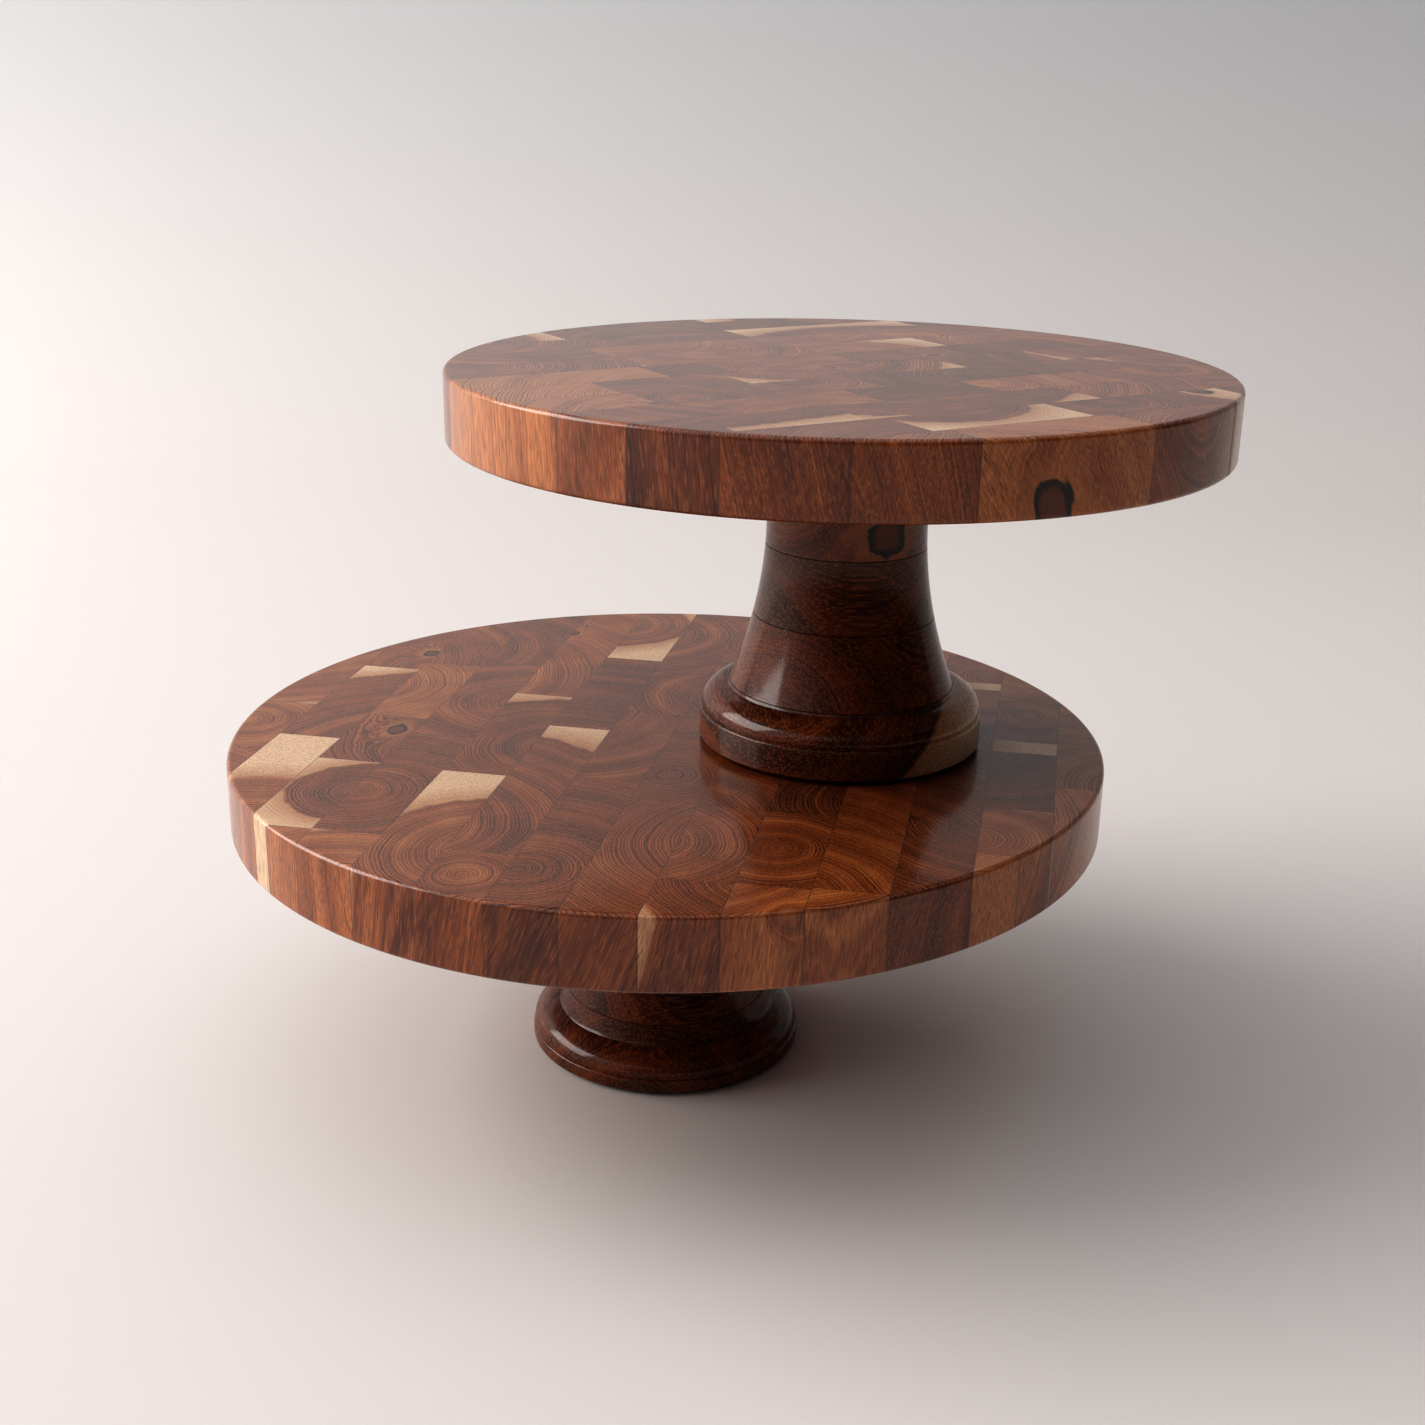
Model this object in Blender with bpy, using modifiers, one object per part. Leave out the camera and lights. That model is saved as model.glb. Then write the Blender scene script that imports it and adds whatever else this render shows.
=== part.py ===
"""Tiered cake stand: a small round wooden cake stand standing on the plate of a larger one.

Each stand is a round end-grain plate, glued up from strips, on a turned pedestal, glued up from
stacked boards. A hanger bolt in the pedestal's top screws into a threaded insert in the plate's
underside, and a felt pad covers the foot. Metres, +Z up. The origin is on the floor, at the middle
of the lower stand's foot, and the upper stand stands off to the right of it, along +X.
"""

import math
from collections import namedtuple

import bpy

# Overall sizes.
LOWER_DIAMETER = 0.3615        # lower plate
UPPER_DIAMETER = 0.3085        # upper plate
LOWER_HEIGHT = 0.1415          # floor to the top of the lower plate
UPPER_HEIGHT = 0.1544          # top of the lower plate to the top of the upper plate
UPPER_OFFSET = 0.0717          # from the lower stand's axis to the upper stand's axis
UPPER_PLATE_SHIFT = -0.0056    # from the upper stand's axis to its plate's middle, along +X

# Plates.
LOWER_THICKNESS = 0.0290
UPPER_THICKNESS = 0.0276
PLATE_EDGE_ROUND = 0.0018
LOWER_STRIPS = 14
UPPER_STRIPS = 12
LOWER_TRIM = 0.0095            # what the round cut takes off the blank's width
UPPER_TRIM = 0.0145
LOWER_BLANK_SHIFT = 0.0026     # the blank's middle, from the axis, across the strips
UPPER_BLANK_SHIFT = 0.0046
LOWER_ACROSS_DEG = -8.0        # the direction across the strips, from +X
UPPER_ACROSS_DEG = 123.3

# Pedestals.
FOOT_RADIUS = 0.0584
LOWER_RIM_HEIGHT = 0.0060      # the foot's straight rim, below the groove
UPPER_RIM_HEIGHT = 0.0128
OVOLO_HEIGHT = 0.0088          # the quarter-round above the groove
SHOULDER_RADIUS = 0.0466       # where the quarter-round ends and the flare starts
FLARE_HEIGHT = 0.0680
FLARE_POWER = 1.95             # 1 is a straight cone, more is hollower
NECK_RADIUS = 0.0325
GROOVE_DEPTH = 0.0011
GROOVE_HEIGHT = 0.0012
RIM_ROUND = 0.0012
FOOT_BOARD = 0.0240            # the lowest board of each pedestal
BOARD_THICKNESS = 0.0290       # the boards above it, and the top board takes what is left
BOARDS = 4

# Hardware and pads.
BOLT_RADIUS = 0.0040
BOLT_WAIST_RADIUS = 0.0033
BOLT_IN_WOOD = 0.0360
BOLT_IN_PLATE = 0.0125
BOLT_TIP = 0.0060
THINNEST_FLOOR = 0.0010         # a bore that would leave less wood than this goes right through
INSERT_WALL = 0.0019
INSERT_LENGTH = 0.0140
CHAMFER = 0.0005
PAD_RADIUS = 0.0500
PAD_THICKNESS = 0.0012

CLEARANCE = 0.0003             # the gap between touching pieces

# Facets round each kind of turned piece.
PLATE_STEPS = 96
PEDESTAL_STEPS = 48
HARDWARE_STEPS = 24

Stand = namedtuple("Stand", "name axis_x base_z plate_x diameter thickness height strips trim "
                            "shift across rim")

LOWER = Stand("lower", 0.0, 0.0, 0.0, LOWER_DIAMETER, LOWER_THICKNESS, LOWER_HEIGHT,
              LOWER_STRIPS, LOWER_TRIM, LOWER_BLANK_SHIFT, math.radians(LOWER_ACROSS_DEG),
              LOWER_RIM_HEIGHT)
UPPER = Stand("upper", UPPER_OFFSET, LOWER_HEIGHT + CLEARANCE, UPPER_PLATE_SHIFT,
              UPPER_DIAMETER, UPPER_THICKNESS, UPPER_HEIGHT - CLEARANCE,
              UPPER_STRIPS, UPPER_TRIM, UPPER_BLANK_SHIFT, math.radians(UPPER_ACROSS_DEG),
              UPPER_RIM_HEIGHT)


def bolt_bore_radius():
    return BOLT_RADIUS + CLEARANCE


def insert_radius():
    return bolt_bore_radius() + INSERT_WALL


def clear_scene():
    for old in list(bpy.data.objects):
        bpy.data.objects.remove(old, do_unlink=True)


def new_collection(name):
    collection = bpy.data.collections.new(name)
    bpy.context.scene.collection.children.link(collection)
    return collection


def finish(name, colour, roughness, metallic=0.0):
    """A plain Principled material."""
    material = bpy.data.materials.new(name)
    material.use_nodes = True
    shader = material.node_tree.nodes["Principled BSDF"]
    shader.inputs["Base Color"].default_value = (*colour, 1.0)
    shader.inputs["Roughness"].default_value = roughness
    shader.inputs["Metallic"].default_value = metallic
    material.diffuse_color = (*colour, 1.0)
    return material


def add_object(name, mesh, parent, collection, material=None):
    part = bpy.data.objects.new(name, mesh)
    part.parent = parent
    collection.objects.link(part)
    if material:
        mesh.materials.append(material)
    return part


def turn(name, profile, steps, parent, collection, material=None, ring=False):
    """Turn a profile of (radius, height) points about the parent's Z axis.

    The profile runs down its outer side. A ring's profile closes on itself, clear of the axis.
    """
    mesh = bpy.data.meshes.new(name)
    count = len(profile)
    edges = [(i, i + 1) for i in range(count - 1)]
    if ring:
        edges.append((count - 1, 0))
    mesh.from_pydata([(radius, 0.0, height) for radius, height in profile], edges, [])
    part = add_object(name, mesh, parent, collection, material)
    screw = part.modifiers.new("turn", "SCREW")
    screw.axis = "Z"
    screw.steps = steps
    screw.render_steps = steps
    screw.use_merge_vertices = True
    screw.merge_threshold = 0.00001
    screw.use_smooth_shade = True
    return part


def arc(centre_radius, centre_height, radius_r, radius_z, start_deg, end_deg, pieces):
    """Points along an ellipse's arc, angles from the outward radius towards +Z."""
    points = []
    for i in range(pieces + 1):
        angle = math.radians(start_deg + (end_deg - start_deg) * i / pieces)
        points.append((centre_radius + radius_r * math.cos(angle),
                       centre_height + radius_z * math.sin(angle)))
    return points


def make_cutter(part):
    part.hide_render = True
    part.display_type = "WIRE"
    return part


def boolean(part, cutter, operation):
    cut = part.modifiers.new(operation.lower(), "BOOLEAN")
    cut.object = cutter
    cut.operation = operation
    cut.solver = "EXACT"


# Plates

def plate_bottom(stand):
    return stand.height - stand.thickness


def plate_round(stand, parent, cutters):
    """The plate's whole round shape, which trims the strips: flat faces and eased edges."""
    radius = stand.diameter / 2
    ease = PLATE_EDGE_ROUND
    profile = [(0.0, stand.height)]
    profile += arc(radius - ease, stand.height - ease, ease, ease, 90, 0, 3)
    profile += arc(radius - ease, plate_bottom(stand) + ease, ease, ease, 0, -90, 3)
    profile.append((0.0, plate_bottom(stand)))
    outline = make_cutter(turn(f"{stand.name}_plate_round", profile, PLATE_STEPS, parent, cutters))
    outline.location.x = stand.plate_x
    return outline


def insert_hole(stand, parent, cutters):
    """The blind hole in the plate's underside that takes the threaded insert."""
    depth = INSERT_LENGTH + 2 * CLEARANCE
    radius = insert_radius() + CLEARANCE
    profile = [(0.0, plate_bottom(stand) + depth), (radius, plate_bottom(stand) + depth),
               (radius, plate_bottom(stand) - depth), (0.0, plate_bottom(stand) - depth)]
    return make_cutter(turn(f"{stand.name}_insert_hole", profile, HARDWARE_STEPS, parent, cutters))


def plate_strips(stand, parent, parts, cutters, material):
    """The glued strips, side by side across the plate, each trimmed to the plate's round."""
    outline = plate_round(stand, parent, cutters)
    hole = insert_hole(stand, parent, cutters)
    pitch = (stand.diameter + stand.trim) / stand.strips
    middle_height = stand.height - stand.thickness / 2
    axis_across = -stand.plate_x * math.cos(stand.across)
    for number in range(stand.strips):
        across = stand.shift + (number - (stand.strips - 1) / 2) * pitch
        bpy.ops.mesh.primitive_cube_add(size=1.0)
        strip = bpy.context.object
        strip.name = f"{stand.name}_plate_strip_{number + 1:02d}"
        for home in list(strip.users_collection):
            home.objects.unlink(strip)
        parts.objects.link(strip)
        strip.parent = parent
        strip.data.materials.append(material)
        size = (pitch - CLEARANCE, stand.diameter * 1.1, stand.thickness * 1.5)
        for corner in strip.data.vertices:
            corner.co = [place * side for place, side in zip(corner.co, size)]
        strip.rotation_euler.z = stand.across
        strip.location = (stand.plate_x + across * math.cos(stand.across),
                          across * math.sin(stand.across), middle_height)
        boolean(strip, outline, "INTERSECT")
        if abs(across - axis_across) < pitch / 2 + insert_radius() + CLEARANCE:
            boolean(strip, hole, "DIFFERENCE")


# Pedestals

def pedestal_bottom():
    return PAD_THICKNESS + CLEARANCE


def pedestal_top(stand):
    return plate_bottom(stand) - CLEARANCE


def pedestal_profile(stand):
    """The pedestal's outer side from top to bottom: neck, flare, quarter-round, groove and rim."""
    bottom = pedestal_bottom()
    groove = bottom + stand.rim
    outer = FOOT_RADIUS - GROOVE_DEPTH / 2
    ovolo_start = groove + GROOVE_HEIGHT
    flare_start = ovolo_start + OVOLO_HEIGHT
    flare_end = flare_start + FLARE_HEIGHT
    flare_pieces = 8
    profile = []
    if flare_end < pedestal_top(stand):
        profile.append((NECK_RADIUS, pedestal_top(stand)))
    for i in range(flare_pieces):
        share = i / flare_pieces
        radius = NECK_RADIUS + (SHOULDER_RADIUS - NECK_RADIUS) * share ** FLARE_POWER
        profile.append((radius, flare_end - FLARE_HEIGHT * share))
    profile += arc(SHOULDER_RADIUS, ovolo_start, outer - SHOULDER_RADIUS, OVOLO_HEIGHT, 90, 0, 6)
    profile.append((outer - GROOVE_DEPTH, groove + GROOVE_HEIGHT / 2))
    profile += arc(FOOT_RADIUS - RIM_ROUND, groove - RIM_ROUND, RIM_ROUND, RIM_ROUND, 60, 0, 2)
    profile += arc(FOOT_RADIUS - RIM_ROUND, bottom + RIM_ROUND, RIM_ROUND, RIM_ROUND, 0, -90, 2)
    return profile


def between(profile, low, high):
    """The stretch of a falling profile between two heights, with its cut ends worked out."""
    points = []
    for (radius_a, height_a), (radius_b, height_b) in zip(profile, profile[1:]):
        for level in (high, low):
            if height_b < level < height_a:
                share = (height_a - level) / (height_a - height_b)
                points.append((radius_a + (radius_b - radius_a) * share, level))
        if low <= height_b <= high:
            points.append((radius_b, height_b))
    if low <= profile[0][1] <= high:
        points.insert(0, profile[0])
    return points


def pedestal_boards(stand, parent, parts, material):
    """The stacked boards, bored from the top for the hanger bolt."""
    profile = pedestal_profile(stand)
    bore = bolt_bore_radius()
    bore_bottom = pedestal_top(stand) - BOLT_IN_WOOD - CLEARANCE
    low = pedestal_bottom()
    for number in range(BOARDS):
        if number == BOARDS - 1:
            high = pedestal_top(stand)
        else:
            high = low + (FOOT_BOARD if number == 0 else BOARD_THICKNESS) - CLEARANCE
        side = between(profile, low, high)
        through = bore_bottom < low + THINNEST_FLOOR
        if through:
            outline = [(bore, high)] + side + [(bore, low)]
        elif bore_bottom < high:
            outline = [(0.0, bore_bottom), (bore, bore_bottom), (bore, high)] + side + [(0.0, low)]
        else:
            outline = [(0.0, high)] + side + [(0.0, low)]
        turn(f"{stand.name}_pedestal_board_{number + 1}", outline, PEDESTAL_STEPS, parent, parts,
             material, ring=through)
        low = high + CLEARANCE


# Hardware and pads

def threaded_insert(stand, parent, parts, material):
    """The sleeve pressed into the plate's underside; its inner thread is left plain."""
    low = plate_bottom(stand) + CLEARANCE
    high = low + INSERT_LENGTH
    inner = bolt_bore_radius()
    outer = insert_radius()
    outline = [(inner, high), (outer - CHAMFER, high), (outer, high - CHAMFER),
               (outer, low + CHAMFER), (outer - CHAMFER, low), (inner, low)]
    turn(f"{stand.name}_threaded_insert", outline, HARDWARE_STEPS, parent, parts, material, ring=True)


def hanger_bolt(stand, parent, parts, material):
    """The headless bolt: a pointed wood screw below, a machine thread above, both left plain."""
    seat = plate_bottom(stand)
    top = seat + BOLT_IN_PLATE
    bottom = pedestal_top(stand) - BOLT_IN_WOOD
    outline = [(0.0, top), (BOLT_RADIUS - CHAMFER, top), (BOLT_RADIUS, top - CHAMFER),
               (BOLT_RADIUS, seat), (BOLT_WAIST_RADIUS, seat - CHAMFER),
               (BOLT_WAIST_RADIUS, seat - BOLT_TIP), (BOLT_RADIUS, seat - BOLT_TIP - CHAMFER),
               (BOLT_RADIUS, bottom + BOLT_TIP), (0.0, bottom)]
    turn(f"{stand.name}_hanger_bolt", outline, HARDWARE_STEPS, parent, parts, material)


def foot_pad(stand, parent, parts, material):
    """The thin felt disc under the foot."""
    outline = [(0.0, PAD_THICKNESS), (PAD_RADIUS, PAD_THICKNESS), (PAD_RADIUS, 0.0), (0.0, 0.0)]
    turn(f"{stand.name}_foot_pad", outline, PEDESTAL_STEPS, parent, parts, material)


def build_stand(stand, parts, cutters, finishes):
    """One stand, everything placed from an empty on the foot's underside, on the screw axis."""
    axis = bpy.data.objects.new(f"{stand.name}_axis", None)
    axis.location = (stand.axis_x, 0.0, stand.base_z)
    parts.objects.link(axis)
    foot_pad(stand, axis, parts, finishes["felt"])
    pedestal_boards(stand, axis, parts, finishes["pedestal_wood"])
    hanger_bolt(stand, axis, parts, finishes["bolt_steel"])
    threaded_insert(stand, axis, parts, finishes["insert_brass"])
    plate_strips(stand, axis, parts, cutters, finishes["plate_wood"])


clear_scene()
stand_parts = new_collection("tiered_cake_stand")
stand_cutters = new_collection("cutters")
stand_finishes = {
    "plate_wood": finish("plate_wood", (0.30, 0.15, 0.09), 0.35),
    "pedestal_wood": finish("pedestal_wood", (0.20, 0.08, 0.045), 0.35),
    "insert_brass": finish("insert_brass", (0.72, 0.53, 0.24), 0.35, 1.0),
    "bolt_steel": finish("bolt_steel", (0.62, 0.62, 0.63), 0.35, 1.0),
    "felt": finish("felt", (0.08, 0.06, 0.05), 0.95),
}
for each_stand in (LOWER, UPPER):
    build_stand(each_stand, stand_parts, stand_cutters, stand_finishes)
bpy.context.view_layer.update()
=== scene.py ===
"""The looks of the tiered cake stand: a small round wooden stand on the plate of a larger one."""

import math

import bmesh
import bpy
import numpy as np
from mathutils import Matrix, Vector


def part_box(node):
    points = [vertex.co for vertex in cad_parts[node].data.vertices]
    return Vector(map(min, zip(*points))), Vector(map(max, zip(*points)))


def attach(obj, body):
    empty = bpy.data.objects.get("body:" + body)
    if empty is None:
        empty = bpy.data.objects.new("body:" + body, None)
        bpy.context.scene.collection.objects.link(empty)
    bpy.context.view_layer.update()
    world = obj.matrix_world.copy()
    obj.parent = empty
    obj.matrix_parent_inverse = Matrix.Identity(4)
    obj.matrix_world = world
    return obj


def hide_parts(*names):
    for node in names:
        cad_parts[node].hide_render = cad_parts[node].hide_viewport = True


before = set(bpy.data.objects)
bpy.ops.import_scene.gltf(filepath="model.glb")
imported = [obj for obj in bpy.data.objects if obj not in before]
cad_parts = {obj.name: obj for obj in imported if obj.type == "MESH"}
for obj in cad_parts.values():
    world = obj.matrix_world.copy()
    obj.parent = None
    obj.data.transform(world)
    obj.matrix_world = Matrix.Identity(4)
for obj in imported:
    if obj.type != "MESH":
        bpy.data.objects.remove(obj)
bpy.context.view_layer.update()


# Camera: a little above the upper plate, looking down at both plates' tops, with a very slight roll.

CAMERA_PLACE = (0.0543, -0.7221, 0.4010)
CAMERA_DOWN = math.radians(19.12)
CAMERA_LEFT = math.radians(2.83)
CAMERA_ROLL = 0.0171
CAMERA_LENS = 46.01

lens = bpy.data.cameras.new("camera")
lens.lens = CAMERA_LENS
lens.clip_start = 0.01
camera = bpy.data.objects.new("camera", lens)
camera.matrix_world = (Matrix.Translation(CAMERA_PLACE)
                       @ Matrix.Rotation(CAMERA_LEFT, 4, "Z")
                       @ Matrix.Rotation(math.pi / 2 - CAMERA_DOWN, 4, "X")
                       @ Matrix.Rotation(CAMERA_ROLL, 4, "Z"))
bpy.context.scene.collection.objects.link(camera)
bpy.context.scene.camera = camera


# Stage: one pale matt sheet, flat as a floor and curving up into a wall behind, lit by a large soft
# window on the left and by a room that is bright above and behind and dim in front.

def grid_faces(rows, columns, close_rows=False, close_columns=False):
    """Quads between neighbouring points of a rows x columns grid, as an array of corner numbers."""
    row = np.arange(rows if close_rows else rows - 1)[:, None]
    column = np.arange(columns if close_columns else columns - 1)[None, :]
    next_row = (row + 1) % rows
    next_column = (column + 1) % columns
    corners = [row * columns + column, row * columns + next_column,
               next_row * columns + next_column, next_row * columns + column]
    return np.stack([np.broadcast_to(c, (row.size, column.size)) for c in corners], -1).reshape(-1, 4)


def mesh_piece(name, points, faces, material, extra_faces=(), smooth_deg=35, merge=0.0):
    """An object from an array of points and an array of quads, with a few extra many-sided faces."""
    mesh = bpy.data.meshes.new(name)
    mesh.from_pydata(points.reshape(-1, 3).tolist(), [], faces.tolist() + [list(f) for f in extra_faces])
    if merge:
        edit = bmesh.new()
        edit.from_mesh(mesh)
        bmesh.ops.remove_doubles(edit, verts=edit.verts, dist=merge)
        bmesh.ops.dissolve_degenerate(edit, edges=edit.edges, dist=merge)
        edit.to_mesh(mesh)
        edit.free()
    mesh.shade_smooth()
    mesh.set_sharp_from_angle(angle=math.radians(smooth_deg))
    mesh.materials.append(material)
    piece = bpy.data.objects.new(name, mesh)
    bpy.context.scene.collection.objects.link(piece)
    return piece


class Shades:
    """A material's nodes, added one at a time; each call gives back the new node's output."""

    def __init__(self, name):
        self.material = bpy.data.materials.new(name)
        self.material.use_nodes = True
        self.tree = self.material.node_tree
        self.shader = self.tree.nodes["Principled BSDF"]

    def feed(self, socket, value):
        if isinstance(value, bpy.types.NodeSocket):
            self.tree.links.new(value, socket)
        else:
            socket.default_value = value

    def add(self, kind, inputs=None, out=0, **settings):
        node = self.tree.nodes.new(kind)
        for key, value in settings.items():
            setattr(node, key, value)
        for key, value in (inputs or {}).items():
            self.feed(node.inputs[key], value)
        return node.outputs[out]

    def math(self, operation, a, b=0.0, c=0.0):
        return self.add("ShaderNodeMath", {0: a, 1: b, 2: c}, operation=operation)

    def vector(self, operation, a, b=(0.0, 0.0, 0.0), c=(0.0, 0.0, 0.0)):
        return self.add("ShaderNodeVectorMath", {0: a, 1: b, 2: c}, operation=operation)

    def length(self, a):
        return self.add("ShaderNodeVectorMath", {0: a}, out=1, operation="LENGTH")

    def step(self, value, low, high, to_low=0.0, to_high=1.0):
        """A smooth rise from to_low to to_high while value goes from low to high."""
        return self.add("ShaderNodeMapRange", {0: value, 1: low, 2: high, 3: to_low, 4: to_high},
                        interpolation_type="SMOOTHSTEP")

    def noise(self, place, scale, detail=2.0, out=0, roughness=0.5):
        return self.add("ShaderNodeTexNoise", {"Vector": place, "Scale": scale, "Detail": detail,
                                               "Roughness": roughness}, out=out)

    def bands(self, distance, scale, detail=2.0):
        """Uneven bands along one measure."""
        return self.add("ShaderNodeTexNoise", {"W": distance, "Scale": scale, "Detail": detail},
                        noise_dimensions="1D")

    def mix(self, share, a, b, blend="MIX"):
        return self.add("ShaderNodeMix", {0: share, 6: a, 7: b}, out=2, data_type="RGBA",
                        blend_type=blend)

    def ramp(self, value, stops):
        node = self.tree.nodes.new("ShaderNodeValToRGB")
        self.feed(node.inputs[0], value)
        elements = node.color_ramp.elements
        while len(elements) < len(stops):
            elements.new(0.5)
        for element, (place, colour) in zip(elements, stops):
            element.position = place
            element.color = (*colour, 1.0)
        return node.outputs[0]

    def attribute(self, name, out=1):
        return self.add("ShaderNodeAttribute", out=out, attribute_name=name)

    def parts(self, vector):
        node = self.tree.nodes.new("ShaderNodeSeparateXYZ")
        self.feed(node.inputs[0], vector)
        return node.outputs


def sheet_material():
    shades = Shades("pale_sheet")
    height = shades.parts(shades.add("ShaderNodeTexCoord", out=3))[2]
    tone = shades.ramp(height, [(0.0, (0.665, 0.622, 0.595)), (0.5, (0.645, 0.65, 0.66))])
    shades.feed(shades.shader.inputs["Base Color"], tone)
    shades.shader.inputs["Roughness"].default_value = 0.9
    return shades.material


SHEET_HALF_WIDTH = 4.0
SHEET_FRONT = -3.5
SHEET_BACK = 1.6
SHEET_BEND = 0.5
SHEET_HEIGHT = 3.0
BEND_POINTS = 17


def sheet_points():
    """A profile of floor, quarter-turn and wall, carried straight across from left to right."""
    turn = np.linspace(0, math.pi / 2, BEND_POINTS)
    floor = np.array([[SHEET_FRONT, 0.0]])
    curve = np.stack([SHEET_BACK - SHEET_BEND + SHEET_BEND * np.sin(turn),
                      SHEET_BEND - SHEET_BEND * np.cos(turn)], -1)
    wall = np.array([[SHEET_BACK, SHEET_HEIGHT]])
    profile = np.concatenate([floor, curve, wall])
    across = np.array([-SHEET_HALF_WIDTH, SHEET_HALF_WIDTH])
    points = np.empty((len(profile), 2, 3))
    points[..., 0] = across[None, :]
    points[..., 1] = profile[:, None, 0]
    points[..., 2] = profile[:, None, 1]
    return points


sheet_faces = grid_faces(BEND_POINTS + 2, 2)[:, ::-1]
sheet = mesh_piece("stage_sheet", sheet_points(), sheet_faces, sheet_material())


def soft_light(name, place, aim, width, height, watts, colour):
    light = bpy.data.lights.new(name, "AREA")
    light.shape = "RECTANGLE"
    light.size = width
    light.size_y = height
    light.energy = watts
    light.color = colour
    lamp = bpy.data.objects.new(name, light)
    bpy.context.scene.collection.objects.link(lamp)
    direction = Matrix.Translation(aim).translation - Matrix.Translation(place).translation
    lamp.rotation_euler = direction.to_track_quat("-Z", "Y").to_euler()
    lamp.location = place


soft_light("window", place=(-2.75, 0.05, 1.75), aim=(0.0, 0.1, 0.1), width=2.6, height=2.2, watts=84.0,
           colour=(1.0, 0.98, 0.96))


def room_light():
    """A room that is bright towards the window and the ceiling and dim in front."""
    room = bpy.data.worlds.new("pale_room")
    room.use_nodes = True
    tree = room.node_tree
    way = tree.nodes.new("ShaderNodeTexCoord").outputs["Generated"]
    facing = tree.nodes.new("ShaderNodeVectorMath")
    facing.operation = "DOT_PRODUCT"
    tree.links.new(way, facing.inputs[0])
    facing.inputs[1].default_value = (-0.50, 0.35, 0.79)
    strength = tree.nodes.new("ShaderNodeMapRange")
    strength.interpolation_type = "SMOOTHSTEP"
    tree.links.new(facing.outputs["Value"], strength.inputs["Value"])
    for name, value in (("From Min", -0.15), ("From Max", 0.90), ("To Min", 0.02), ("To Max", 0.95)):
        strength.inputs[name].default_value = value
    tree.links.new(strength.outputs["Result"], tree.nodes["Background"].inputs["Strength"])
    tree.nodes["Background"].inputs["Color"].default_value = (0.95, 0.96, 1.0, 1.0)
    return room


bpy.context.scene.world = room_light()
bpy.context.scene.view_settings.view_transform = "Standard"
bpy.context.scene.view_settings.look = "High Contrast"


# Foot pads: a thin disc of dark felt under each foot, glued on, a little smaller than the foot.

def felt_material():
    shades = Shades("felt")
    place = shades.add("ShaderNodeTexCoord", out=3)
    fibres = shades.noise(place, 2600.0, 3.0)
    tone = shades.ramp(fibres, [(0.3, (0.020, 0.014, 0.011)), (0.7, (0.075, 0.055, 0.045))])
    shades.feed(shades.shader.inputs["Base Color"], tone)
    shades.shader.inputs["Roughness"].default_value = 0.95
    bump = shades.add("ShaderNodeBump", {"Strength": 0.6, "Distance": 0.0003, "Height": fibres})
    shades.feed(shades.shader.inputs["Normal"], bump)
    return shades.material


def turned_points(profile, steps):
    """A (radius, height) profile carried round the Z axis in equal steps, as a steps x points grid."""
    angle = np.linspace(0, 2 * math.pi, steps, endpoint=False)[:, None]
    radius, height = np.array(profile).T
    grid = np.empty((steps, len(profile), 3))
    grid[..., 0] = radius * np.cos(angle)
    grid[..., 1] = radius * np.sin(angle)
    grid[..., 2] = height
    return grid


felt = felt_material()
PAD_STEPS = 96
for stand in ("lower", "upper"):
    low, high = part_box(f"{stand}_foot_pad")
    middle = (low + high) / 2
    radius = (high.x - low.x) / 2
    ease = (high.z - low.z) * 0.35
    outline = [(0.0, high.z), (radius - 2 * ease, high.z), (radius - ease, high.z),
               (radius, high.z - ease), (radius, low.z + ease), (radius - ease, low.z),
               (radius - 2 * ease, low.z), (0.0, low.z)]
    points = turned_points(outline, PAD_STEPS) + (middle.x, middle.y, 0.0)
    pad = mesh_piece(f"{stand}_felt_disc", points, grid_faces(PAD_STEPS, len(outline), close_rows=True),
                     felt, merge=1e-6)
    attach(pad, f"{stand}_pedestal")
    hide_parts(f"{stand}_foot_pad")


# The wood of both stands: a red-brown heartwood with dark and orange growth rings, pale sapwood
# outside them, and pores that are dots on the end grain and dashes along it. Each block carries its
# own grain measures: where its corner lies from the pith, in mm, and how dark and how old it is.

DARK_HEART = (0.040, 0.0095, 0.0035)
RED_HEART = (0.125, 0.029, 0.0090)
MID_HEART = (0.235, 0.062, 0.018)
ORANGE_HEART = (0.420, 0.150, 0.048)
DEEP_SAP = (0.40, 0.18, 0.078)
PALE_SAP = (0.62, 0.41, 0.25)
RESIN = (0.012, 0.006, 0.004)
GLUE = (0.060, 0.026, 0.014)


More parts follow.
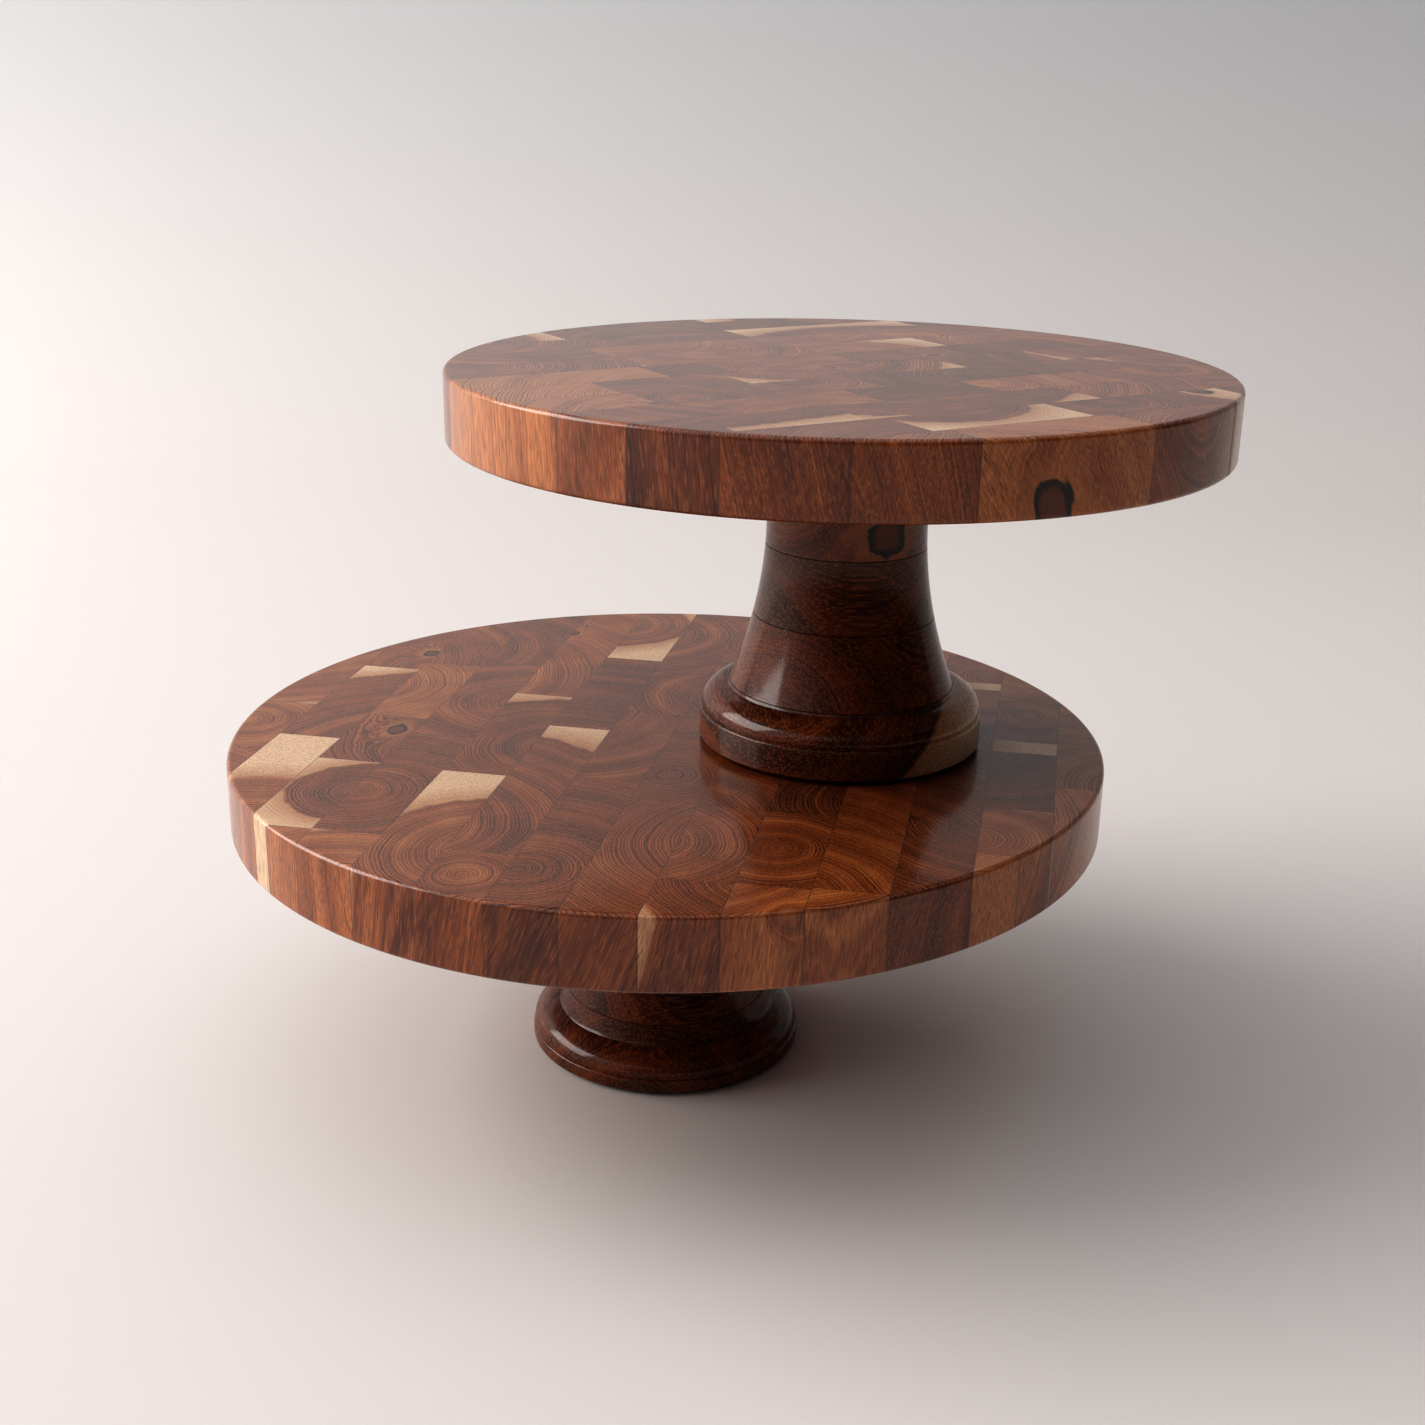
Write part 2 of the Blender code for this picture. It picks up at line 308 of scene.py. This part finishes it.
def wood_material(name, pore_length, glue_width, wax, varnish):
    """Colour from the distance to the pith, in the block's own grain measures (millimetres).

    The "cell" attribute is the place in the block, with 1 instead of the height on end-grain faces.
    """
    shades = Shades(name)
    grain = shades.attribute("grain")
    seed, tone, sap = shades.parts(shades.attribute("wood"))
    knot = shades.length(shades.attribute("knot"))
    seeds = shades.add("ShaderNodeCombineXYZ", {0: seed, 1: seed, 2: seed})
    shift = shades.vector("MULTIPLY_ADD", seeds, (31.0, 57.0, 83.0), grain)

    # Growth rings, bent by slow and by quick unevenness and pushed aside round a knot.
    slow = shades.noise(shades.vector("MULTIPLY", shift, (0.024, 0.024, 0.008)), 1.0, 2.0, out=1)
    quick = shades.noise(shades.vector("MULTIPLY", shift, (0.16, 0.16, 0.02)), 1.0, 2.0, out=1)
    bent = shades.vector("MULTIPLY_ADD", shades.vector("SUBTRACT", slow, (0.5, 0.5, 0.5)),
                         (7.0, 7.0, 0.0), grain)
    bent = shades.vector("MULTIPLY_ADD", shades.vector("SUBTRACT", quick, (0.5, 0.5, 0.5)),
                         (1.1, 1.1, 0.0), bent)
    distance = shades.length(shades.vector("MULTIPLY", bent, (1.0, 1.0, 0.0)))
    knot = shades.math("MULTIPLY_ADD", shades.parts(quick)[2], 0.9, shades.math("SUBTRACT", knot, 0.45))
    swirl = shades.math("EXPONENT", shades.math("MULTIPLY", shades.math("MULTIPLY", knot, knot), -0.16))
    distance = shades.math("MULTIPLY_ADD", swirl, 16.0, distance)
    ring = shades.math("MULTIPLY_ADD", seed, 37.0, distance)
    ends = shades.parts(shades.attribute("cell"))[2]
    broad = shades.bands(ring, 0.11, 1.0)
    fine = shades.bands(ring, 1.1, 2.0)
    even = shades.math("MULTIPLY", ring, 4.6)
    phase = shades.math("MULTIPLY_ADD", shades.bands(ring, 0.35, 1.0), 9.0, even)
    season = shades.math("SINE", phase)
    lines = shades.step(season, 0.30, 0.95)
    light_lines = shades.step(season, -0.55, -0.98)
    cloud = shades.noise(shades.vector("MULTIPLY", shift, (0.05, 0.05, 0.012)), 1.0, 3.0)

    value = shades.math("MULTIPLY_ADD", shades.math("SUBTRACT", broad, 0.5), 0.62, 0.46)
    value = shades.math("MULTIPLY_ADD", shades.math("SUBTRACT", fine, 0.5), 0.60, value)
    value = shades.math("MULTIPLY_ADD", shades.math("MULTIPLY", season, ends), -0.06, value)
    value = shades.math("MULTIPLY_ADD", shades.math("SUBTRACT", cloud, 0.5), 0.62, value)
    value = shades.math("MULTIPLY_ADD", tone, 0.28, value)
    heart = shades.ramp(value, [(0.05, DARK_HEART), (0.35, RED_HEART), (0.62, MID_HEART),
                                (0.95, ORANGE_HEART)])
    lines = shades.math("MULTIPLY", lines, shades.step(ends, 0.0, 1.0, 0.10, 0.60))
    light_lines = shades.math("MULTIPLY", light_lines, shades.step(ends, 0.0, 1.0, 0.06, 0.34))
    heart = shades.mix(lines, heart, (*DARK_HEART, 1.0))
    heart = shades.mix(light_lines, heart, (*ORANGE_HEART, 1.0))
    edge = shades.math("MULTIPLY_ADD", shades.parts(quick)[1], 4.0, distance)
    into_sap = shades.math("SUBTRACT", edge, sap)
    in_sap = shades.step(into_sap, 0.8, 3.4)
    age = shades.math("MULTIPLY_ADD", into_sap, 0.035, shades.math("MULTIPLY", fine, 0.5))
    pale = shades.ramp(shades.math("MULTIPLY_ADD", cloud, 0.3, age), [(0.42, DEEP_SAP), (1.0, PALE_SAP)])
    colour = shades.mix(in_sap, heart, pale)

    # Pores and fibres, long along the grain.
    holes = shades.vector("MULTIPLY", shift, (0.85, 0.85, 1.0 / pore_length))
    pore = shades.add("ShaderNodeTexVoronoi", {"Vector": holes, "Scale": 1.0, "Randomness": 1.0})
    ring_pores = shades.step(fine, 0.35, 0.6, 0.35, 1.0)
    halo = shades.math("MULTIPLY", shades.step(pore, 0.22, 0.52, 1.0, 0.0), 0.30)
    colour = shades.mix(halo, colour, (*ORANGE_HEART, 1.0), blend="LIGHTEN")
    hole = shades.math("MULTIPLY", shades.step(pore, 0.12, 0.26, 1.0, 0.0), ring_pores)
    colour = shades.mix(shades.math("MULTIPLY", hole, 0.80), colour, (*DARK_HEART, 1.0))
    fibre = shades.noise(shades.vector("MULTIPLY", shift, (2.2, 2.2, 0.12)), 1.0, 2.0)
    shade = shades.step(fibre, 0.30, 0.70, 0.68, 1.32)
    shade = shades.add("ShaderNodeCombineXYZ", {0: shade, 1: shade, 2: shade})
    colour = shades.vector("MULTIPLY", colour, shade)

    # Knots: a black line round a brown heart, and orange wood outside it.
    outside = shades.math("MULTIPLY", shades.step(knot, 0.9, 2.2, 1.0, 0.0), 0.45)
    colour = shades.mix(outside, colour, (*ORANGE_HEART, 1.0))
    inside = shades.step(knot, 0.90, 1.05, 1.0, 0.0)
    heart_of_knot = shades.ramp(shades.math("MULTIPLY_ADD", fibre, 0.5, knot),
                                [(0.75, RED_HEART), (1.05, RESIN)])
    colour = shades.mix(inside, colour, heart_of_knot)

    # Glue lines at the block's edges.
    cell = shades.vector("ABSOLUTE", shades.attribute("cell"))
    inset = shades.parts(shades.vector("SUBTRACT", shades.attribute("cell_half"), cell))
    to_edge = shades.math("MINIMUM", inset[0], inset[1])
    glue = shades.step(to_edge, glue_width * 0.4, glue_width, 1.0, 0.0)
    colour = shades.mix(shades.math("MULTIPLY", glue, 0.6), colour, (*GLUE, 1.0))

    shades.feed(shades.shader.inputs["Base Color"], colour)
    shades.shader.inputs["Roughness"].default_value = 0.42
    shades.shader.inputs["Specular IOR Level"].default_value = wax
    shades.shader.inputs["Coat Weight"].default_value = varnish
    shades.shader.inputs["Coat Roughness"].default_value = 0.13
    shades.shader.inputs["Coat IOR"].default_value = 1.5
    dents = shades.math("MULTIPLY_ADD", hole, -0.35, shades.math("MULTIPLY", glue, -0.8))
    waves = shades.noise(shades.vector("MULTIPLY", shift, (0.09, 0.09, 0.05)), 1.0, 1.0)
    relief = shades.math("MULTIPLY_ADD", waves, 1.2, dents)
    bump = shades.add("ShaderNodeBump", {"Strength": 0.35, "Distance": 0.00012, "Height": relief})
    shades.feed(shades.shader.inputs["Normal"], bump)
    shades.feed(shades.shader.inputs["Coat Normal"], bump)
    return shades.material


def set_corner_vector(mesh, name, values):
    attribute = mesh.attributes.new(name, "FLOAT_VECTOR", "CORNER")
    attribute.data.foreach_set("vector", np.ascontiguousarray(values, np.float32).ravel())


def corner_places(mesh):
    """Each face corner's position, and the number of the face that it belongs to."""
    places = np.empty(len(mesh.vertices) * 3, np.float32)
    mesh.vertices.foreach_get("co", places)
    corners = np.empty(len(mesh.loops), np.int32)
    mesh.loops.foreach_get("vertex_index", corners)
    sides = np.empty(len(mesh.polygons), np.int32)
    mesh.polygons.foreach_get("loop_total", sides)
    return places.reshape(-1, 3)[corners].astype(float), np.repeat(np.arange(len(sides)), sides)


# Pedestals: boards glued face to face with their grain lying flat, then turned together into a
# foot with a groove and a quarter-round, a hollow flare and a straight neck, and varnished.

pedestal_wood = wood_material("pedestal_wood", pore_length=14.0, glue_width=0.16, wax=0.10, varnish=0.60)

MM = 0.001
FOOT = dict(radius=58.4, round=1.2, groove=1.1, groove_height=1.2, shoulder=46.6, flare=68.0,
            neck=32.5, power=1.95, ovolo=8.8)
RIM_HEIGHT = {"lower": 6.0, "upper": 12.8}

# Each board from the foot up: the way its grain runs from +X, in degrees; its pith's place across
# the grain and up from the board's middle, in mm; the sapwood's radius; how light it is; its seed.
BOARDS = {
    "lower": [(75, -6, -30, 95, -0.9, 3), (20, 15, -40, 90, -0.8, 7), (80, 0, 45, 95, -0.9, 12),
              (10, 10, 40, 90, -0.8, 15)],
    "upper": [(88, 28, 40, 74, -1.2, 21), (62, 12, -34, 92, -0.8, 25), (12, 2, -38, 90, -1.0, 33),
              (70, 16, 22, 140, -0.5, 38)],
}

# Knots: the way each faces from +X, in degrees; its height from its board's middle; its size, in mm.
BOARD_KNOTS = {("upper", 4): (-62, -12, (9, 9, 8))}
NO_KNOT = (0, 900, (9, 9, 9))
TURNED_STEPS = 160
GLUE_INSET = 0.15


def arc(centre_r, centre_z, size_r, size_z, start_deg, end_deg, pieces):
    """Points along an ellipse's arc, angles from the outward radius towards +Z."""
    angle = np.radians(np.linspace(start_deg, end_deg, pieces + 1))
    return np.stack([centre_r + size_r * np.cos(angle), centre_z + size_z * np.sin(angle)], -1)


def pedestal_side(stand, bottom, top):
    """The turned side from top to bottom, in mm: straight neck, flare, quarter-round, groove, rim."""
    groove = bottom + RIM_HEIGHT[stand]
    ovolo = groove + FOOT["groove_height"]
    shoulder = ovolo + FOOT["ovolo"]
    share = np.linspace(0, 1, 49)
    flare = np.stack([FOOT["neck"] + (FOOT["shoulder"] - FOOT["neck"]) * share ** FOOT["power"],
                      shoulder + FOOT["flare"] * (1 - share)], -1)
    outer = FOOT["radius"] - FOOT["groove"] / 2
    neck_heights = np.linspace(top, shoulder + FOOT["flare"], 12, endpoint=False)
    neck = np.stack([np.full(12, FOOT["neck"]), neck_heights], -1)
    side = [neck, flare,
            arc(FOOT["shoulder"] + 0.3, ovolo, outer - FOOT["shoulder"] - 0.3,
                FOOT["ovolo"] - 0.3, 90, 0, 24),
            arc(outer - FOOT["groove"] * 0.1, groove + FOOT["groove_height"] / 2, -FOOT["groove"] * 0.9,
                FOOT["groove_height"] / 2, -80, 80, 6),
            arc(FOOT["radius"] - FOOT["round"], groove - FOOT["round"], FOOT["round"], FOOT["round"],
                75, 0, 6),
            arc(FOOT["radius"] - FOOT["round"], bottom + FOOT["round"], FOOT["round"], FOOT["round"],
                0, -90, 8)]
    side = np.concatenate(side)
    return side[side[:, 1] <= top]


def cut_side(side, low, high):
    """The part of a falling side between two heights, its ends found along its straight pieces."""
    radius = np.interp([-high, -low], -side[:, 1], side[:, 0])
    inner = side[(side[:, 1] < high) & (side[:, 1] > low)]
    return np.concatenate([[(radius[0], high)], inner, [(radius[1], low)]])


for stand in ("lower", "upper"):
    foot_low, foot_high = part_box(f"{stand}_pedestal_board_1")
    neck_low, neck_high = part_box(f"{stand}_pedestal_board_4")
    axis_x = (foot_low.x + foot_high.x) / 2
    side = pedestal_side(stand, foot_low.z / MM, neck_high.z / MM)
    for number, (turn_deg, pith_across, pith_up, sap, tone, seed) in enumerate(BOARDS[stand], 1):
        node = f"{stand}_pedestal_board_{number}"
        low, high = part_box(node)
        outline = cut_side(side, low.z / MM, high.z / MM) * MM
        profile = np.concatenate([[(0.0, high.z)], outline, [(0.0, low.z)]])
        points = turned_points(profile, TURNED_STEPS) + (axis_x, 0.0, 0.0)
        board = mesh_piece(f"{stand}_turned_board_{number}", points,
                           grid_faces(TURNED_STEPS, len(profile), close_rows=True), pedestal_wood,
                           smooth_deg=40, merge=1e-6)
        places, _ = corner_places(board.data)
        turn = math.radians(turn_deg)
        x, y = (places[:, 0] - axis_x) / MM, places[:, 1] / MM
        up = (places[:, 2] - (low.z + high.z) / 2) / MM
        along = x * math.cos(turn) + y * math.sin(turn)
        across = -x * math.sin(turn) + y * math.cos(turn)
        count = len(places)
        set_corner_vector(board.data, "grain", np.stack([across - pith_across, up - pith_up, along], -1))
        set_corner_vector(board.data, "wood", np.tile((seed, tone, sap), (count, 1)))
        heart_deg, heart_up, size = BOARD_KNOTS.get((stand, number), NO_KNOT)
        spot = np.array([FOOT["neck"] * math.cos(math.radians(heart_deg)),
                         FOOT["neck"] * math.sin(math.radians(heart_deg)), heart_up])
        set_corner_vector(board.data, "knot", (np.stack([x, y, up], -1) - spot) / size)
        half = (high.z - low.z) / 2 / MM + GLUE_INSET
        set_corner_vector(board.data, "cell", np.stack([np.zeros(count), up, np.zeros(count)], -1))
        set_corner_vector(board.data, "cell_half", np.tile((99.0, half, 0.0), (count, 1)))
        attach(board, f"{stand}_pedestal")
        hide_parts(node)


# Hardware: in each pedestal's top a zinc-plated hanger bolt, wood screw below and machine thread
# above, and in the plate's underside the brass insert that it screws into.

def metal_material(name, colour, roughness):
    shades = Shades(name)
    place = shades.add("ShaderNodeTexCoord", out=3)
    wear = shades.noise(shades.vector("MULTIPLY", place, (1.0, 1.0, 4.0)), 700.0, 3.0)
    shades.feed(shades.shader.inputs["Base Color"],
                shades.ramp(wear, [(0.3, tuple(c * 0.75 for c in colour)), (0.7, colour)]))
    worn = shades.step(wear, 0.2, 0.8, roughness, roughness + 0.2)
    shades.feed(shades.shader.inputs["Roughness"], worn)
    shades.shader.inputs["Metallic"].default_value = 1.0
    return shades.material


bolt_steel = metal_material("bolt_steel", (0.62, 0.62, 0.63), 0.28)
insert_brass = metal_material("insert_brass", (0.72, 0.53, 0.24), 0.3)
for stand in ("lower", "upper"):
    for part, metal in (("hanger_bolt", bolt_steel), ("threaded_insert", insert_brass)):
        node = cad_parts[f"{stand}_{part}"]
        node.data.materials.clear()
        node.data.materials.append(metal)


# Plates: each a blank glued up from strips, and each strip from short blocks stood on end, so the
# top shows end grain and the rim shows long grain. It is cut round and its edges are eased.

plate_wood = wood_material("plate_wood", pore_length=9.0, glue_width=0.30, wax=0.28, varnish=0.70)
EDGE_ROUND = 1.8
STRIP_GAP = 0.02
COLUMN_WIDTH = 1.5
FEWEST_COLUMNS = 18
RIM_ROWS = 7
RIM_INSET = 0.6
NO_BLOCK_KNOT = (900, 900, 900, 9, 9, 9)

# Each plate: the way its strips are counted, from +X; how far the strips' middle lies from the
# plate's; how much wider than the plate the blank was; the joints along each strip, in mm from the
# plate's middle; some blocks' grain, by strip and block: (pith across, pith along, sapwood radius,
# tone, lean across, lean along); some blocks' knots: (three for the place, three for the size).
PLATES = {
    "lower": dict(
        across_deg=-8.0, shift=2.6, trim=9.5, strips=14, seed=5,
        joints=[(-60, -3), (-41, 55), (-134, -64, -10, 66), (-133, -80, -28, 73), (-66, 33),
                (-140, -5, 94), (-110, -60, 21, 78), (-78, 18, 72), (-147, -78, -20, 35, 90),
                (-145, -78, -42, 10, 65), (-143, -90, -35, 20, 75), (-75, -20, 40, 88, 98),
                (-100, -55, 8, 22, 75), (-28, 20)],
        blocks={
            (0, 0): (-120, 20, 140, 0.5, 0.1, 0.0),
            (1, 0): (-120, -190, 103, 0.7, 0.1, 0.0), (1, 1): (-80, -60, 121, 0.1, 0.0, 0.1),
            (1, 2): (-100, 60, 140, 0.1, 0.0, 0.0),
            (2, 0): (-150, -90, 140, 1.0, 0.1, 0.0), (2, 1): (-99, -95, 29.5, -0.3, 0.0, 0.0),
            (2, 2): (-60, -20, 140, -0.2, 0.0, 0.0), (2, 3): (-150, 30, 140, 0.9, 0.0, 0.0),
            (2, 4): (-180, 60, 190, 0.1, 0.0, 0.0),
            (3, 0): (-78, -180, 51, 0.8, 0.1, 0.1), (3, 1): (-100, -95, 140, -0.1, 0.0, 0.0),
            (3, 2): (-100, -95, 190, -0.1, 0.0, 0.0), (3, 3): (-70, 20, 140, 0.0, 0.0, 0.0),
            (4, 0): (-36, -138, 47, 0.4, 0.1, 0.0), (4, 1): (-40, -30, 61, -0.2, 0.0, 0.0),
            (4, 2): (-130, 50, 190, 0.6, 0.0, 0.0),
            (5, 0): (-38, -160, 140, 0.4, 0.2, 0.0), (5, 1): (-80, -120, 104, 0.1, 0.0, 0.0),
            (5, 2): (-40, -60, 190, -0.4, 0.0, 0.0), (5, 3): (-60, 150, 38, 0.1, 0.0, 0.0),
            (6, 0): (-20, -150, 140, -0.2, 0.4, 0.0), (6, 1): (-30, -150, 140, 0.0, 0.0, 0.0),
            (6, 2): (-60, 20, 140, 0.1, 0.0, 0.0), (6, 3): (20, 50, 140, 0.1, 0.0, 0.0),
            (7, 0): (60, -110, 140, 0.2, 0.4, 0.0), (7, 1): (12, -50, 140, -0.2, 0.0, 0.0),
            (8, 0): (75, -135, 58, -0.1, 0.3, 0.0), (8, 1): (15, -115, 140, 0.1, 0.0, 0.0),
            (8, 2): (20, -90, 140, -0.2, 0.0, 0.0),
            (9, 0): (30, -120, 140, 1.0, 0.1, 0.0), (9, 1): (64, -112, 140, 0.2, 0.0, 0.0),
            (9, 2): (100, -60, 140, -1.2, 0.0, 0.0),
            (10, 0): (60, -100, 140, 0.8, 0.1, 0.0), (10, 1): (60, -160, 140, 0.4, 0.0, 0.0),
            (10, 2): (70, -110, 140, 0.1, 0.0, 0.0),
            (11, 0): (150, -60, 140, -0.4, 0.5, 0.0), (11, 1): (95, -90, 140, -0.5, 0.0, 0.0),
            (11, 4): (60, 60, 62, 0.3, 0.0, 0.0),
            (12, 0): (110, -60, 140, 1.9, 0.2, 0.0), (12, 3): (80, 10, 53, 0.4, 0.0, 0.0),
            (13, 0): (100, -60, 140, 1.4, 0.2, 0.0)},
        knots={(1, 2): (-133, 80, 0, 4, 5, 30), (2, 2): (-111, -25, 0, 4, 7, 30),
               (4, 2): (-76, 129, 0, 2.5, 4, 30), (9, 0): (77, -166, 0, 2.2, 3, 3)}),
    "upper": dict(
        across_deg=123.3, shift=4.6, trim=14.5, strips=12, seed=11,
        joints=[(-24, 45), (-99, -17, 51), (-105, -44, 57, 109), (-75, -20, 31, 90),
                (-113, -79, 12, 57, 105), (-95, -46, 5, 54, 107), (-130, -70, -15, 45, 73),
                (-77, -14, 25, 68), (-95, -70, 9, 70), (-105, -13, 50), (-62, -15, 64),
                (-20, 38)],
        blocks={
            (0, 0): (-190, -70, 140, 0.1, 0.2, 0.3), (0, 1): (-190, 60, 140, 1.4, 0.2, 0.5),
            (0, 2): (-100, 90, 140, 0.2, 0.3, 0.0),
            (1, 1): (-110, -40, 51, -0.2, 0.0, 0.0), (1, 2): (-88, 21, 34, -0.3, 0.0, 0.0),
            (1, 3): (-160, 60, 140, -0.1, 0.3, 0.0),
            (2, 2): (-20, 10, 88, -0.1, 0.0, 0.0), (2, 3): (150, 110, 247, -0.2, 0.0, 0.0),
            (2, 4): (-40, 130, 140, -0.4, 0.1, 0.0),
            (3, 3): (-100, 60, 140, 0.5, 0.0, 0.0), (3, 4): (-30, 60, 140, 0.3, 0.1, 0.0),
            (4, 0): (-30, -160, 140, 0.2, 0.1, 0.0), (4, 1): (-50, -70, 45, 0.0, 0.0, 0.0),
            (4, 5): (-70, 100, 140, 1.3, 0.1, 0.0),
            (5, 2): (25, 10, 64, 0.0, 0.0, 0.0), (5, 3): (20, 15, 46, 0.2, 0.0, 0.0),
            (5, 5): (-60, 60, 140, 1.7, 0.1, 0.0), (6, 5): (-30, 60, 140, 1.6, 0.0, 0.0),
            (7, 1): (26, -28, 37, 0.6, 0.0, 0.0), (7, 3): (75, 20, 140, 0.6, 0.0, 0.0),
            (7, 4): (60, 130, 66, 0.0, 0.0, 0.0), (8, 1): (20, -60, 140, 0.9, 0.0, 0.0),
            (8, 2): (150, -10, 140, 0.5, 0.0, 0.0), (9, 1): (20, -60, 83, 0.0, 0.0, 0.0),
            (9, 2): (60, 20, 140, -0.2, 0.0, 0.0), (10, 3): (125, 130, 56, 0.2, 0.0, 0.0)},
        knots={(0, 1): (-153, 18, -23.5, 9, 8, 10.5), (1, 1): (-106, -88, 0, 6, 5, 30),
               (4, 5): (-46, 107, 0, 2.5, 2.5, 30), (5, 2): (-1, 4, 0, 2, 2, 30),
               (6, 2): (11, -54, 0, 3, 3, 30)}),
}


def strip_points(radius, thickness, top, start, end, joints):
    """One strip of a round plate, in mm, on its own axes: across, along and up.

    Columns run across the strip, even along the rim. Each column is a closed loop round the strip:
    along the top through the joints, over the eased edge, down the rim, back underneath, and up.
    The loop's points at plate radius rho stand at along = sqrt(rho^2 - across^2).
    """
    angle_start, angle_end = [math.asin(max(-1.0, min(1.0, e / radius))) for e in (start, end)]
    columns = max(FEWEST_COLUMNS, int((angle_end - angle_start) * radius / COLUMN_WIDTH))
    across = radius * np.sin(np.linspace(angle_start, angle_end, columns + 1))[:, None]
    flat = radius - EDGE_ROUND
    over = np.clip(np.abs(across) - flat, 0, EDGE_ROUND)
    first = np.arcsin(over / EDGE_ROUND)
    sweep = first + (math.pi / 2 - first) * np.linspace(0, 1, 8)[None, :]
    rho = flat + EDGE_ROUND * np.sin(sweep)
    edge_along = np.sqrt(np.maximum(rho ** 2 - across ** 2, 0))
    edge_up = top - EDGE_ROUND + EDGE_ROUND * np.cos(sweep)
    top_height = edge_up[:, :1]
    reach = edge_along[:, :1]
    support = np.maximum(reach - 0.8, reach * 0.5)
    inner = np.clip(np.array(joints, float)[None, :], -support, support)
    top_along = inner[:, ::-1]
    inset = EDGE_ROUND + RIM_INSET
    rim_up = np.linspace(top - inset, top - thickness + inset, RIM_ROWS)[None, :]
    rim_along = np.sqrt(np.maximum(radius ** 2 - across ** 2, 0)) * np.ones_like(rim_up)
    rim_up = np.broadcast_to(rim_up, rim_along.shape)
    flip = 2 * top - thickness
    under_height = flip - top_height
    ones = np.ones_like(top_along)
    loop_along = np.concatenate([
        support, top_along, -support, -edge_along, -rim_along, -edge_along[:, ::-1],
        -support, inner, support, edge_along, rim_along[:, ::-1], edge_along[:, ::-1]], 1)
    loop_up = np.concatenate([
        top_height, ones * top_height, top_height, edge_up, rim_up, flip - edge_up[:, ::-1],
        under_height, ones * under_height, under_height, flip - edge_up, rim_up[:, ::-1],
        edge_up[:, ::-1]], 1)
    return np.stack([np.broadcast_to(across, loop_along.shape), loop_along, loop_up], -1)


def block_grain(plate, strip, block, middle, rng):
    """A block's pith, sapwood radius, tone and lean: the known ones as listed, the rest by chance."""
    turn, reach = rng.uniform(0, 2 * math.pi), rng.uniform(5, 60)
    chance = (middle[0] + reach * math.cos(turn), middle[1] + reach * math.sin(turn),
              rng.uniform(60, 140), rng.uniform(-0.8, 0.8), rng.uniform(-0.25, 0.25),
              rng.uniform(-0.25, 0.25))
    return plate["blocks"].get((strip, block), chance)


for stand, plate in PLATES.items():
    rng = np.random.default_rng(plate["seed"])
    corners = [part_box(f"{stand}_plate_strip_{n:02d}") for n in range(1, plate["strips"] + 1)]
    lows = np.array([low for low, high in corners]).min(0) / MM
    highs = np.array([high for low, high in corners]).max(0) / MM
    radius = (highs[0] - lows[0]) / 2
    centre = (lows + highs) / 2
    top, thickness = highs[2], highs[2] - lows[2]
    pitch = (2 * radius + plate["trim"]) / plate["strips"]
    turn = math.radians(plate["across_deg"])
    for strip, joints in enumerate(plate["joints"]):
        node = f"{stand}_plate_strip_{strip + 1:02d}"
        middle_across = plate["shift"] + (strip - (plate["strips"] - 1) / 2) * pitch
        start = max(middle_across - pitch / 2 + STRIP_GAP / 2, -radius)
        end = min(middle_across + pitch / 2 - STRIP_GAP / 2, radius)
        local = strip_points(radius, thickness, top, start, end, joints)
        columns, loop = local.shape[:2]
        world = local.copy()
        world[..., 0] = centre[0] + local[..., 0] * math.cos(turn) - local[..., 1] * math.sin(turn)
        world[..., 1] = centre[1] + local[..., 0] * math.sin(turn) + local[..., 1] * math.cos(turn)
        caps = []
        if start > -radius:
            caps.append(range(loop))
        if end < radius:
            caps.append(range(columns * loop - 1, (columns - 1) * loop - 1, -1))
        piece = mesh_piece(f"{stand}_strip_{strip + 1:02d}", world * MM,
                           grid_faces(columns, loop, close_columns=True), plate_wood, caps,
                           smooth_deg=40, merge=1e-6)
        places, faces = corner_places(piece.data)
        x, y = places[:, 0] / MM - centre[0], places[:, 1] / MM - centre[1]
        across = x * math.cos(turn) + y * math.sin(turn)
        along = -x * math.sin(turn) + y * math.cos(turn)
        up = places[:, 2] / MM - top
        counts = np.bincount(faces)
        normals = np.empty(len(piece.data.polygons) * 3, np.float32)
        piece.data.polygons.foreach_get("normal", normals)
        flat = np.abs(normals.reshape(-1, 3)[:, 2]) > 0.7
        face_along = (np.bincount(faces, along) / counts)[faces]
        which = np.searchsorted(np.array(joints, float), face_along)
        bounds = np.array([-radius - 9, *joints, radius + 9], float)
        middles = [(middle_across, (bounds[b] + bounds[b + 1]) / 2) for b in range(len(joints) + 1)]
        grains = np.array([block_grain(plate, strip, b, m, rng) for b, m in enumerate(middles)])
        seeds = (strip * 10 + np.arange(len(grains))) % 97 + plate["seed"]
        pith_a, pith_b, sap, tone, lean_a, lean_b = grains[which].T
        set_corner_vector(piece.data, "grain", np.stack(
            [across - pith_a - lean_a * up, along - pith_b - lean_b * up, up], -1))
        set_corner_vector(piece.data, "wood", np.stack([seeds[which], tone, sap], -1))
        knots = np.array([plate["knots"].get((strip, b), NO_BLOCK_KNOT)
                          for b in range(len(grains))], float)[which]
        place = np.stack([across, along, up], -1)
        set_corner_vector(piece.data, "knot", (place - knots[:, :3]) / knots[:, 3:])
        middles = np.array(middles)[which]
        set_corner_vector(piece.data, "cell", np.stack(
            [across - middle_across, along - middles[:, 1], flat[faces]], -1))
        half = np.diff(bounds)[which] / 2
        halves = np.stack([np.full_like(half, pitch / 2), half, np.zeros_like(half)], -1)
        set_corner_vector(piece.data, "cell_half", halves)
        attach(piece, f"{stand}_plate")
        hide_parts(node)
